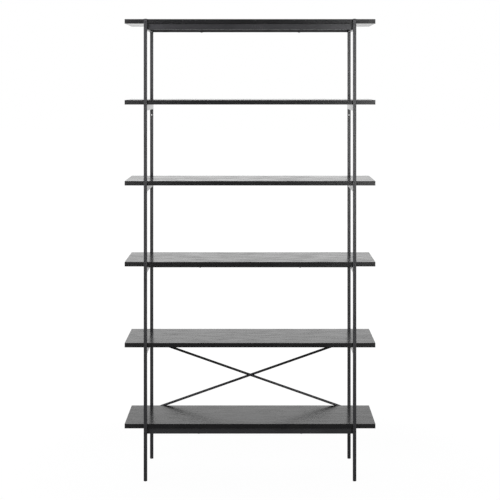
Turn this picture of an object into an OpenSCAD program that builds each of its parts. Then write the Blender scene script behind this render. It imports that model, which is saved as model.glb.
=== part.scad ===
// Open bookcase: six veneered boards between two steel side frames.
// Three of the boards lie fixed on the welded frames. The other three hang on studs and lift off.
// Front faces -Y, up is +Z, and the origin is on the floor under the middle of the bookcase.

/* [Boards] */
// Width of each board, from side to side
board_w = 1000; // [700:10:1400]
// Depth of each board, from front to back
board_d = 325; // [220:5:450]
// Thickness of each board
board_t = 18; // [16:1:30]
// Height of the lowest board's top face above the floor
lowest_top = 226; // [150:5:400]
// Step from one board's top face to the next one's
pitch = 322.8; // [240:1:420]
// Length of each board that stands out past the side frames
overhang = 77; // [20:1:150]
// Rounding along the boards' long edges
edge_r = 0.4; // [0.2:0.1:3]

/* [Side frames] */
// Outer width of the square posts, rungs and bearers
post_s = 13.5; // [11:0.5:20]
// Wall thickness of all the tubes and channels
wall = 1.5; // [1:0.1:2]
// Outer corner radius of all the tubes and channels
corner_r = 1; // [0.5:0.1:2.5]
// Height of the rungs, rails, stretcher and bearers
bar_h = 24; // [20:1:40]
// Gap between the boards' long edges and the posts
post_gap = 0.5; // [0.3:0.1:2]
// Distance from the fixed boards' long edges to the rails
rail_setback = 12; // [5:1:60]
// Height of the domed cap above each post's end
cap_rise = 1.4; // [0.8:0.1:4]
// Thickness of the glide under each post
glide_t = 3; // [2:0.5:8]
// Length of the plug on each cap and glide
plug_len = 10; // [5:1:20]
// Gap all round each plug inside its post
plug_gap = 0.1; // [0.05:0.05:0.3]

/* [Lift-off studs] */
// Diameter of each shelf stud
stud_d = 8; // [5:0.5:9]
// Distance that each stud stands out of its post
stud_reach = 12; // [6:1:20]
// Height from a stud's axis to the flat that carries the bearer
stud_flat = 2.5; // [1.5:0.1:3]
// Diameter of each stud's tail, through the post's wall
stud_tail_d = 4.8; // [3:0.1:5]
// Gap round each stud's tail in its hole
tail_gap = 0.1; // [0.05:0.05:0.3]

/* [Brace] */
// Diameter of the brace rods
rod_d = 10; // [6:0.5:11]
// Height of the rods' lower ends
brace_low = 210; // [180:1:260]
// Height of the rods' upper ends
brace_high = 497; // [350:1:505]
// Thickness of the plate on each rod's end
plate_t = 2; // [1.5:0.1:4]
// Length of each plate from the rod's axis to its far end
plate_reach = 21; // [18:1:30]
// Distance from the rod's axis to the plate's screw
plate_screw = 14; // [12:0.5:16]
// Width of each plate past the rod, at its near end
plate_margin = 2; // [1:0.5:4]
// Gap between the crossed rods
cope_gap = 0.05; // [0.02:0.01:0.3]

/* [Screws and wall fixing] */
// Shank diameter of all the screws
screw_d = 4; // [3:0.5:4.5]
// Head diameter of all the screws
head_d = 8; // [6:0.5:9]
// Head height of all the screws
head_h = 2.2; // [1.5:0.1:3]
// Gap round each shank in its hole
shank_gap = 0.15; // [0.05:0.05:0.3]
// Depth to which the screws reach into the boards
screw_bite = 11; // [8:0.5:12]
// Distance from a board's long edges to its outer screws
screw_inset = 52; // [35:1:80]
// Diameter of the wall-fixing hole through each rear post
fix_d = 5; // [4:0.5:7]
// Height of the wall-fixing holes
fix_z = 1450; // [1200:5:1460]

/* [Hidden] */
BOARDS = [1, 2, 3, 4, 5, 6];
FIXED = [1, 4, 6];
LIFT_OFF = [2, 3, 5];
SIDES = [["left", -1], ["right", 1]];
ENDS = [["front", -1], ["rear", 1]];

bar_w = post_s;
post_x = board_w / 2 - overhang - bar_w / 2;
post_y = board_d / 2 + post_gap + post_s / 2;
inner_x = post_x - bar_w / 2;
inner_y = post_y - post_s / 2;
rail_y = board_d / 2 - rail_setback - bar_w / 2;
screw_y = board_d / 2 - screw_inset;
rail_screw_x = inner_x / 2;
post_end = top_z(1);
hole_r = screw_d / 2 + shank_gap;
rod_angle = atan2(brace_high - brace_low, 2 * inner_x);
cut = 1;
stud_axis_drop = wall + stud_flat;
$fn = 48;

function top_z(n) = lowest_top + (6 - n) * pitch;
function under_z(n) = top_z(n) - board_t;

// Rectangle with true round corners
module round_rect(w, h, r) {
    square([w, h - 2 * r], center = true);
    square([w - 2 * r, h], center = true);
    for (x = [-1, 1], y = [-1, 1])
        translate([x * (w / 2 - r), y * (h / 2 - r)])
            circle(r);
}

module tube_section(w, h) {
    difference() {
        round_rect(w, h, corner_r);
        square([w - 2 * wall, h - 2 * wall], center = true);
    }
}

// Inverted U: the section of a bearer, closed at the top and open below
module channel_section() {
    difference() {
        round_rect(bar_w, bar_h, corner_r);
        translate([0, -wall])
            square([bar_w - 2 * wall, bar_h], center = true);
        translate([0, -bar_h / 2])
            square([bar_w + cut, 2 * corner_r], center = true);
    }
    for (x = [-1, 1])
        translate([x * (bar_w - wall) / 2, corner_r - bar_h / 2])
            square([wall, 2 * corner_r], center = true);
}

// Extrudes a section along Y, with the section's own y upwards
module along_y(length) {
    rotate([90, 0, 0])
        linear_extrude(length, center = true)
            children();
}

// Extrudes a section along X, with the section's own y upwards
module along_x(length) {
    rotate([90, 0, 90])
        linear_extrude(length, center = true)
            children();
}

// Drills a shank hole upwards from the height z, at each of the given points
module shank_holes(points, z, depth, r) {
    for (p = points)
        translate([p[0], p[1], z - cut])
            cylinder(r = r, h = depth + cut);
}

// Socket-head screw, standing on its head, with its seat at z = 0
module screw(length) {
    dome_r = head_d;
    difference() {
        union() {
            cylinder(d = screw_d, h = length);
            intersection() {
                translate([0, 0, -head_h])
                    cylinder(d = head_d, h = head_h);
                translate([0, 0, dome_r - head_h])
                    sphere(dome_r);
            }
        }
        translate([0, 0, -head_h - cut])
            cylinder(d = head_d / 3, h = head_h / 2 + cut, $fn = 6);
    }
}

// Points where the screws of a board's rungs, bearers, rails and stretcher stand
function side_points() = [for (x = [-1, 1], y = [-1, 1]) [x * post_x, y * screw_y]];
function rail_points() = [for (x = [-1, 1], y = [-1, 1]) [x * rail_screw_x, y * rail_y]];
function stretcher_points() = [for (x = [-1, 1]) [x * rail_screw_x, 0]];
function screw_points(n) = concat(
    side_points(),
    n == 1 || n == 6 ? rail_points() : [],
    n == 4 ? stretcher_points() : []
);
function is_fixed(n) = n == 1 || n == 4 || n == 6;

module board(n) {
    color("#26272a")
    difference() {
        translate([0, 0, top_z(n) - board_t / 2])
            along_x(board_w)
                round_rect(board_d, board_t, edge_r);
        shank_holes(screw_points(n), under_z(n), screw_bite + cut / 2, hole_r);
    }
}

module board_screws(n) {
    grip = is_fixed(n) ? bar_h : wall;
    color("#1c1c1e")
    for (p = screw_points(n))
        translate([p[0], p[1], under_z(n) - grip])
            screw(grip + screw_bite);
}

module post(x, y) {
    color("#303134")
    difference() {
        translate([x * post_x, y * post_y, glide_t])
            linear_extrude(post_end - glide_t)
                tube_section(post_s, post_s);
        // holes for the studs' tails, in the wall that faces the other post
        for (n = LIFT_OFF)
            translate([x * post_x, y * (inner_y + wall / 2), under_z(n) - stud_axis_drop])
                rotate([90, 0, 0])
                    cylinder(d = stud_tail_d + 2 * tail_gap, h = wall + cut, center = true);
        if (y > 0) {
            // wall-fixing hole, right through
            translate([x * post_x, post_y, fix_z])
                rotate([90, 0, 0])
                    cylinder(d = fix_d, h = post_s + 2 * cut, center = true);
            // holes for the brace's screws, in the wall that faces the other side
            for (z = [brace_low - plate_screw, brace_high + plate_screw])
                translate([x * (inner_x + wall / 2), post_y, z])
                    rotate([0, 90, 0])
                        cylinder(r = hole_r, h = wall + cut, center = true);
        }
    }
}

// Square plug that holds a cap or a glide in its post
module plug() {
    plug_s = post_s - 2 * wall - 2 * plug_gap;
    translate([0, 0, -plug_len / 2])
        cube([plug_s, plug_s, plug_len], center = true);
}

module cap(x, y) {
    dome_r = post_s * 2;
    color("#2a2b2d")
    translate([x * post_x, y * post_y, post_end]) {
        plug();
        intersection() {
            linear_extrude(cap_rise)
                round_rect(post_s, post_s, corner_r);
            translate([0, 0, cap_rise - dome_r])
                sphere(dome_r, $fn = 96);
        }
    }
}

module glide(x, y) {
    foot_r = post_s;
    color("#1b1b1b")
    translate([x * post_x, y * post_y, 0]) {
        translate([0, 0, glide_t])
            mirror([0, 0, 1])
                plug();
        intersection() {
            linear_extrude(glide_t)
                round_rect(post_s, post_s, corner_r);
            translate([0, 0, foot_r - glide_t / 4])
                sphere(foot_r, $fn = 96);
        }
    }
}

module rung(n, x) {
    color("#303134")
    difference() {
        translate([x * post_x, 0, under_z(n) - bar_h / 2])
            along_y(2 * inner_y)
                tube_section(bar_w, bar_h);
        shank_holes(side_points(), under_z(n) - bar_h, bar_h + cut, hole_r);
    }
}

module rail(n, y) {
    color("#303134")
    difference() {
        translate([0, y * rail_y, under_z(n) - bar_h / 2])
            along_x(2 * inner_x)
                tube_section(bar_w, bar_h);
        shank_holes(rail_points(), under_z(n) - bar_h, bar_h + cut, hole_r);
    }
}

module stretcher() {
    color("#303134")
    difference() {
        translate([0, 0, under_z(4) - bar_h / 2])
            along_x(2 * inner_x)
                tube_section(bar_w, bar_h);
        shank_holes(stretcher_points(), under_z(4) - bar_h, bar_h + cut, hole_r);
    }
}

module bearer(n, x) {
    color("#303134")
    difference() {
        translate([x * post_x, 0, under_z(n) - bar_h / 2])
            along_y(board_d)
                channel_section();
        shank_holes(side_points(), under_z(n) - wall, wall + cut, hole_r);
    }
}

// One stud: a round bar with a flat milled on top, and a tail through the post's wall
module stud(y) {
    rotate([y * 90, 0, 0]) {
        intersection() {
            cylinder(d = stud_d, h = stud_reach);
            translate([-stud_d, -stud_d - (y > 0 ? 0 : stud_flat - stud_d), 0])
                cube([2 * stud_d, stud_d + stud_flat, stud_reach]);
        }
        translate([0, 0, -wall])
            cylinder(d = stud_tail_d, h = wall);
    }
}

module studs(n) {
    color("#3a3b3e")
    for (x = [-1, 1], y = [-1, 1])
        translate([x * post_x, y * inner_y, under_z(n) - stud_axis_drop])
            stud(y);
}

// One rod along its own axis, rising to the right when dir is 1, cut flush with both plates
module rod(dir, d) {
    intersection() {
        translate([0, post_y, (brace_low + brace_high) / 2])
            rotate([0, 90 - dir * rod_angle, 0])
                cylinder(d = d, h = board_w, center = true);
        translate([0, post_y, (brace_low + brace_high) / 2])
            cube([2 * (inner_x - plate_t), post_s, brace_high], center = true);
    }
}

// End plate on a rear post's inner face, drilled above or below the rod
module end_plate(x, up) {
    axis_z = up > 0 ? brace_high : brace_low;
    rod_foot = rod_d / 2 + plate_margin;
    translate([x * (inner_x - plate_t / 2), post_y, axis_z])
        rotate([0, 90, 0])
            difference() {
                translate([-up * (plate_reach - rod_foot) / 2, 0, 0])
                    linear_extrude(plate_t, center = true)
                        round_rect(plate_reach + rod_foot, post_s, corner_r);
                translate([-up * plate_screw, 0, 0])
                    cylinder(r = hole_r, h = plate_t + cut, center = true);
            }
}

module brace_rod_rising() {
    color("#303134") {
        rod(1, rod_d);
        end_plate(-1, -1);
        end_plate(1, 1);
    }
}

// The second rod is cut in two and coped to the first
module brace_rod_falling() {
    color("#303134") {
        difference() {
            rod(-1, rod_d);
            rod(1, rod_d + 2 * cope_gap);
        }
        end_plate(1, -1);
        end_plate(-1, 1);
    }
}

module brace_screws() {
    color("#1c1c1e")
    for (x = [-1, 1], z = [brace_low - plate_screw, brace_high + plate_screw])
        translate([x * (inner_x - plate_t), post_y, z])
            rotate([0, x * 90, 0])
                screw(plate_t + 2 * wall);
}

for (s = SIDES, e = ENDS) {
    post(s[1], e[1]);
    cap(s[1], e[1]);
    glide(s[1], e[1]);
}
for (n = FIXED, s = SIDES)
    rung(n, s[1]);
for (n = [1, 6], e = ENDS)
    rail(n, e[1]);
stretcher();  // stretcher_4
for (n = BOARDS) {
    board(n);
    board_screws(n);
}
for (n = LIFT_OFF, s = SIDES)
    bearer(n, s[1]);
for (n = LIFT_OFF)
    studs(n);
brace_rod_rising();
brace_rod_falling();
brace_screws();
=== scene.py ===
import math

import bpy
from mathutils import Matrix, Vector


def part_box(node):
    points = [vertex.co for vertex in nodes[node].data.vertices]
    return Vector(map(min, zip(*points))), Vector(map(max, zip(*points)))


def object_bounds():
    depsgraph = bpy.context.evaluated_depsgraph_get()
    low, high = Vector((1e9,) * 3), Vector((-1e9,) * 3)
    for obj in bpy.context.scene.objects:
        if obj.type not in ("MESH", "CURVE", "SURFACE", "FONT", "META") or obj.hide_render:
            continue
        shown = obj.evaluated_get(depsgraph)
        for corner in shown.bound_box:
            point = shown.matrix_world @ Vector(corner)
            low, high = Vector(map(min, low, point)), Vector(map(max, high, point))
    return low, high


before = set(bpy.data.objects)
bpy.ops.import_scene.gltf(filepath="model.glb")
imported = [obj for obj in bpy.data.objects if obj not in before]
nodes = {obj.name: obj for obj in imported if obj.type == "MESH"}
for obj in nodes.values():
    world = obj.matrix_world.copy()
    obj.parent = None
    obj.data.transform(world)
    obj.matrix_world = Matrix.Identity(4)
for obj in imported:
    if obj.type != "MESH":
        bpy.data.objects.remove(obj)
cad_bounds = [list(corner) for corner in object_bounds()]


# ---- Camera ----
# A long lens at head height, square to the boards' front edges and a little right of their
# middle, with its picture shifted down so that the posts stay upright.
CAMERA_RIGHT = 0.025
CAMERA_DISTANCE = 5.67
CAMERA_HEIGHT = 1.592


def stand(name, data):
    """Stands a camera, a lamp or a mesh in the scene"""
    thing = bpy.data.objects.new(name, data)
    bpy.context.scene.collection.objects.link(thing)
    return thing


camera_data = bpy.data.cameras.new("camera")
camera_data.sensor_width = 36
camera_data.lens = 102.4
camera_data.shift_x = -0.01257
camera_data.shift_y = -0.3374
camera = stand("camera", camera_data)
board_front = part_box("board_1")[0].y
camera.location = (CAMERA_RIGHT, board_front - CAMERA_DISTANCE, CAMERA_HEIGHT)
camera.rotation_euler = (math.radians(90), 0, 0)
bpy.context.scene.camera = camera
bpy.context.scene.view_settings.view_transform = "Standard"


# ---- Boards ----
# Six shelves of 18 mm board, faced with crown-cut oak veneer that is stained black and
# sealed with a thin satin lacquer, so that the pores stay open. The edges are banded with
# strips of the same veneer, with the grain along each edge.

# Every finish is worked out from a point on the piece, in metres. A Value is what a node gives,
# and sums on it add Math nodes. A Finish is one material with its nodes, or the surround.
class Value:
    def __init__(self, finish, socket):
        self.finish = finish
        self.socket = socket

    def maths(self, operation, *others):
        return self.finish.maths(operation, self, *others)

    def __add__(self, other):
        return self.finish.maths("ADD", self, other)

    def __radd__(self, other):
        return self.finish.maths("ADD", other, self)

    def __sub__(self, other):
        return self.finish.maths("SUBTRACT", self, other)

    def __rsub__(self, other):
        return self.finish.maths("SUBTRACT", other, self)

    def __mul__(self, other):
        return self.finish.maths("MULTIPLY", self, other)

    def __rmul__(self, other):
        return self.finish.maths("MULTIPLY", other, self)

    def __truediv__(self, other):
        return self.finish.maths("DIVIDE", self, other)

    def __rtruediv__(self, other):
        return self.finish.maths("DIVIDE", other, self)

    def __abs__(self):
        return self.maths("ABSOLUTE")

    def smooth(self, low, high):
        """0 below low and 1 above high, with a soft step between"""
        settings = {"interpolation_type": "SMOOTHSTEP"}
        inputs = {"Value": self, "From Min": low, "From Max": high}
        return self.finish.value("ShaderNodeMapRange", settings, inputs)


class Finish:
    def __init__(self, owner, shader="Principled BSDF", **fixed):
        """Takes a new material or world, and what its shader has alike all over"""
        self.owner = owner
        owner.use_nodes = True
        self.tree = owner.node_tree
        self.shader = self.tree.nodes[shader]
        for name, given in fixed.items():
            self.feed(self.shader.inputs[name.replace("_", " ")], given)

    def node(self, kind, settings=None, inputs=None):
        """Any node: its type, its settings, and the values or links of its sockets"""
        node = self.tree.nodes.new(kind)
        for key, setting in (settings or {}).items():
            setattr(node, key, setting)
        for key, given in (inputs or {}).items():
            self.feed(node.inputs[key], given)
        return node

    def feed(self, socket, given):
        """Gives a socket a Value, a number, or a colour as its red, green and blue"""
        if isinstance(given, Value):
            self.tree.links.new(given.socket, socket)
        elif isinstance(given, tuple):
            socket.default_value = (*given, 1)
        else:
            socket.default_value = given

    def value(self, kind, settings=None, inputs=None, output=0):
        return Value(self, self.node(kind, settings, inputs).outputs[output])

    def maths(self, operation, *numbers):
        return self.value("ShaderNodeMath", {"operation": operation}, dict(enumerate(numbers)))

    def place(self, output="Object"):
        """The point on a piece, its normal, or the way that a ray goes out to the surround"""
        return self.value("ShaderNodeTexCoord", output=output)

    def split(self, vector):
        """The three numbers of a point or a direction"""
        parts = self.node("ShaderNodeSeparateXYZ", None, {0: vector})
        return [Value(self, socket) for socket in parts.outputs]

    def join(self, x, y, z):
        return self.value("ShaderNodeCombineXYZ", None, {0: x, 1: y, 2: z})

    def noise(self, vector, scale=1.0, detail=2.0, roughness=0.5):
        inputs = {"Vector": vector, "Scale": scale, "Detail": detail, "Roughness": roughness}
        return self.value("ShaderNodeTexNoise", None, inputs, "Fac")

    def mix(self, mask, dark, light):
        """A colour between two others; on a Mix node they go in at 6 and 7 and come out at 2"""
        return self.value("ShaderNodeMix", {"data_type": "RGBA"}, {0: mask, 6: dark, 7: light}, 2)

    def wear(self, color, roughness, relief=None, depth=0.0):
        """Feeds the shader: colour, roughness, and a relief that counts in parts of a depth"""
        self.feed(self.shader.inputs["Base Color"], color)
        self.feed(self.shader.inputs["Roughness"], roughness)
        if relief is not None:
            inputs = {"Height": relief, "Distance": depth, "Strength": 1.0}
            bump = self.value("ShaderNodeBump", None, inputs)
            self.feed(self.shader.inputs["Normal"], bump)


def dress(pieces, finish, rounding=0.0):
    """Gives CAD nodes a finish, and rounds their sharp edges by so many metres"""
    for piece in pieces:
        piece.data.materials.clear()
        piece.data.materials.append(finish.owner)
        if rounding:
            bevel = piece.modifiers.new("rounding", "BEVEL")
            bevel.width = rounding
            bevel.segments = 2
            bevel.limit_method = "ANGLE"
            bevel.angle_limit = math.radians(50)
            bevel.harden_normals = True


EDGE_ROUNDING = 0.0003
LEAF_WIDTH = 0.108
RINGS_ALONG = 6.5
RING_CURVE = 2600
BANDING_CALM = 0.75
PORE_DEPTH = 0.00002
DEEP_STAIN = (0.0070, 0.0070, 0.0074)
THIN_STAIN = (0.0175, 0.0172, 0.0172)
PORE_STAIN = (0.003, 0.003, 0.003)
FACING = (0.6, 0.8)

veneer = Finish(bpy.data.materials.new("black_oak_veneer"), IOR=1.44)
x, y, z = veneer.split(veneer.place())
side_normal, front_normal, _ = veneer.split(veneer.place("Normal"))
on_end = abs(side_normal).smooth(*FACING)
on_edge = abs(front_normal).smooth(*FACING)
# Each board is cut from another part of the log, and on its ends the grain runs front to back
board_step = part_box("board_1")[0].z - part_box("board_2")[0].z
board_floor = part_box("board_6")[0].z - board_step / 2
storey = ((z - board_floor) / board_step).maths("FLOOR")
along = x + storey * 3.7 + on_end * (y - x)
across = y + storey * 0.031 + on_end * (x - y)


def fibres(pace_along, pace_across, shift=0, detail=2.0, roughness=0.5):
    """Noise drawn out along the grain, at a pace to the metre along it and across it"""
    spot = veneer.join(along * pace_along, across * pace_across, z * pace_across + shift)
    return veneer.noise(spot, detail=detail, roughness=roughness)


def banded(share, middle):
    """Keeps a share nearer to its middle on the banding, whose strips are straight and even"""
    return middle + (share - middle) * (1 - BANDING_CALM * on_edge)


# The leaves of veneer lie side by side. Rings, counted along a board and by the square of the
# distance across a leaf, are wide apart in its middle and close together at its sides.
leaf = (across / LEAF_WIDTH).maths("FLOOR")
from_middle = abs((across / LEAF_WIDTH).maths("FRACT") - 0.5) * LEAF_WIDTH
drift = fibres(1.6, 9, shift=leaf * 5.3, detail=3.0)
rings = from_middle * from_middle * RING_CURVE + along * RINGS_ALONG + drift * 6 + leaf * 0.37
ring = abs(rings.maths("FRACT") - 0.5) * 2
early_wood = banded(ring.smooth(0.45, 0.95), 0.3)
streak = banded(fibres(2.2, 70, detail=4.0, roughness=0.6), 0.5)
# The figure shows in the gloss alone
figure = fibres(9, 40, shift=leaf, detail=3.0, roughness=0.6)
figure = banded(figure.smooth(0.36, 0.64), 0.5)
# The pores are deep in the early wood and faint in the late wood
pore = fibres(42, 1500, detail=1.0).smooth(0.52, 0.7) * (0.35 + 0.65 * early_wood)
ray = fibres(14, 420)

tone = (streak * 0.55 + early_wood * 0.25 + ray * 0.2).smooth(0.2, 0.8)
stain = veneer.mix(tone, DEEP_STAIN, THIN_STAIN)
stain = veneer.mix(pore * 0.8, stain, PORE_STAIN)
satin = 0.135 + 0.08 * figure + 0.05 * streak + 0.08 * pore + 0.05 * early_wood
relief = 2.2 * streak - 0.5 * early_wood - 0.5 * pore + 0.15 * ray
veneer.wear(stain, satin, relief, PORE_DEPTH)
dress([nodes[f"board_{number}"] for number in range(1, 7)], veneer, EDGE_ROUNDING)


# ---- Steel frame ----
# Posts, rungs, rails and stretcher of square and flat tube, bearers of open channel, and the
# brace's solid rods, all powder coated black: a satin skin with a very fine orange-peel. The
# coat on the thin rods is a deeper black.
PEEL_DEPTH = 0.00001


def powder_coat(name, dark, light):
    coat = Finish(bpy.data.materials.new(name), IOR=1.55)
    spot = coat.place()
    peel = coat.noise(spot, scale=620)
    speck = coat.noise(spot, scale=2400, detail=1.0)
    cloud = coat.noise(spot, scale=7, detail=3.0)
    skin = coat.mix(cloud.smooth(0.3, 0.7), dark, light)
    satin = 0.205 + 0.055 * cloud + 0.055 * speck
    coat.wear(skin, satin, 0.75 * peel + 0.25 * speck, PEEL_DEPTH)
    return coat


def named(*words):
    """The CAD nodes whose names start with one of these words"""
    return [piece for name, piece in nodes.items() if name.startswith(words)]


frame_coat = powder_coat("black_powder_coat", (0.0240, 0.0240, 0.0255), (0.0300, 0.0300, 0.0320))
rod_coat = powder_coat("deep_black_powder_coat", (0.0060, 0.0060, 0.0062), (0.0080, 0.0080, 0.0082))
dress(named("post_", "rung_", "rail_", "stretcher_", "bearer_"), frame_coat, EDGE_ROUNDING)
dress(named("brace_rod_"), rod_coat, EDGE_ROUNDING)


# ---- Caps and glides ----
# Moulded black polyamide: a domed cap plugged into the top of each post, and a rounded
# glide plugged into its foot.
GRAIN_DEPTH = 0.00002
plastic = Finish(bpy.data.materials.new("black_polyamide"), IOR=1.46)
grain = plastic.noise(plastic.place(), scale=1500)
moulded = plastic.mix(grain, (0.020, 0.020, 0.021), (0.028, 0.028, 0.029))
plastic.wear(moulded, 0.5 + 0.1 * grain, grain, GRAIN_DEPTH)
dress(named("cap_", "glide_"), plastic)


# ---- Studs and screws ----
# Turned steel studs, which sit in holes in the posts' inner walls and carry the lift-off
# shelves, and headed steel screws for boards, bearers and brace. All have black zinc plating.
zinc = Finish(bpy.data.materials.new("black_zinc"), Metallic=0.7, IOR=1.5)
haze = zinc.noise(zinc.place(), scale=260, detail=3.0)
plating = zinc.mix(haze, (0.030, 0.030, 0.034), (0.060, 0.058, 0.060))
zinc.wear(plating, 0.32 + 0.15 * haze)
dress(named("studs_", "board_screws_", "brace_screws"), zinc)


# ---- Soft lights ----
# Five flat lamps before the bookcase: one right of the camera, a weaker one left of it, a large
# one further left, and two small ones with a cooler light, high up on either side.
COOL = (1.0, 0.94, 1.3)


def soft_light(name, place, size, power, aim_height=1.1, color=(1, 1, 1)):
    """A flat lamp that faces the bookcase's middle at a height, hidden from the camera"""
    data = bpy.data.lights.new(name, "AREA")
    data.color = color
    data.shape = "RECTANGLE"
    data.size, data.size_y = size
    data.energy = power
    light = stand(name, data)
    light.location = place
    aim = Vector((0, 0, aim_height)) - Vector(place)
    light.rotation_euler = aim.to_track_quat("-Z", "Y").to_euler()
    light.visible_camera = False


soft_light("key", (1.75, -5.5, 1.35), (1.4, 2.0), power=66)
soft_light("fill", (-1.9, -5.5, 1.4), (1.3, 2.0), power=38)
soft_light("left", (-3.2, -4.2, 2.4), (1.6, 2.2), power=66, aim_height=1.2)
soft_light("high_right", (2.0, -5.0, 3.0), (1.6, 1.2), power=8, aim_height=1.4, color=COOL)
soft_light("high_left", (-2.0, -5.0, 3.0), (1.6, 1.2), power=17, aim_height=1.4, color=COOL)


# ---- Floor ----
# A wide matt white floor, with the bookcase's faint shadow on it. Gloss finds it dark before
# the bookcase, brighter there to the right and to the left, a little lighter close by, and
# white behind.
FLOOR_REACH = 40
CAMERA_WHITE = 1.06
SHADOW_SHARE = 0.09
FRONT_SHINE = 0.06
NEAR_SHINE = 0.07
RIGHT_SHINE = 0.60
LEFT_SHINE = 0.38
SIDE_EDGE = (0.45, 0.75)
floor_height = cad_bounds[0][2]
corners = [(-1, -1), (1, -1), (1, 1), (-1, 1)]
square = [(FLOOR_REACH * a, FLOOR_REACH * b, floor_height) for a, b in corners]
floor_mesh = bpy.data.meshes.new("floor")
floor_mesh.from_pydata(square, [], [(0, 1, 2, 3)])
floor = stand("floor", floor_mesh)

pale = Finish(bpy.data.materials.new("white_floor"), Base_Color=(0.86, 0.86, 0.86), Roughness=0.9)
by_camera = pale.value("ShaderNodeLightPath", output="Is Camera Ray")
by_gloss = pale.value("ShaderNodeLightPath", output="Is Glossy Ray")
x, y, _ = pale.split(pale.place())
in_front = y.smooth(-5.0, -3.0) - y.smooth(-0.7, 0.1)
sides = RIGHT_SHINE * x.smooth(*SIDE_EDGE) + LEFT_SHINE * (x * -1).smooth(*SIDE_EDGE)
shine = FRONT_SHINE + NEAR_SHINE * y.smooth(-1.8, -0.9) + y.smooth(0.3, 3.0) + in_front * sides
strength = by_camera * CAMERA_WHITE + by_gloss * shine
glow = pale.value("ShaderNodeEmission", None, {"Color": (1, 1, 1), "Strength": strength})
# Near the bookcase the camera still sees a little of the paint itself, which takes the shadow
away = (x * x + y * y).smooth(0.6, 3.0)
share = by_camera * (1 - SHADOW_SHARE + SHADOW_SHARE * away) + by_gloss
paint = Value(pale, pale.shader.outputs["BSDF"])
surface = pale.value("ShaderNodeMixShader", None, {0: share, 1: paint, 2: glow})
pale.feed(pale.tree.nodes["Material Output"].inputs["Surface"], surface)
floor.data.materials.append(pale.owner)


# ---- Surround ----
# White to the camera. For light and gloss it is dim before the bookcase and bright behind it,
# and falls off from the horizon upwards.
FRONT_DIMNESS = 0.10
HORIZON_BRIGHTNESS = 1.47
UPPER_BRIGHTNESS = 0.48
sky = Finish(bpy.data.worlds.new("studio"), "Background", Color=(1, 1, 1))
bpy.context.scene.world = sky.owner
_, y, z = sky.split(sky.place("Generated"))
behind = FRONT_DIMNESS + (1 - FRONT_DIMNESS) * y.smooth(-0.35, 0.55)
heights = {"From Min": 0.03, "From Max": 0.30}
brightness = {"To Min": HORIZON_BRIGHTNESS, "To Max": UPPER_BRIGHTNESS}
upwards = sky.value("ShaderNodeMapRange", None, {"Value": z, **heights, **brightness})
by_camera = sky.value("ShaderNodeLightPath", output="Is Camera Ray")
seen = sky.value("ShaderNodeMix", None, {"Factor": by_camera, "A": behind * upwards, "B": 1.0})
sky.feed(sky.shader.inputs["Strength"], seen)
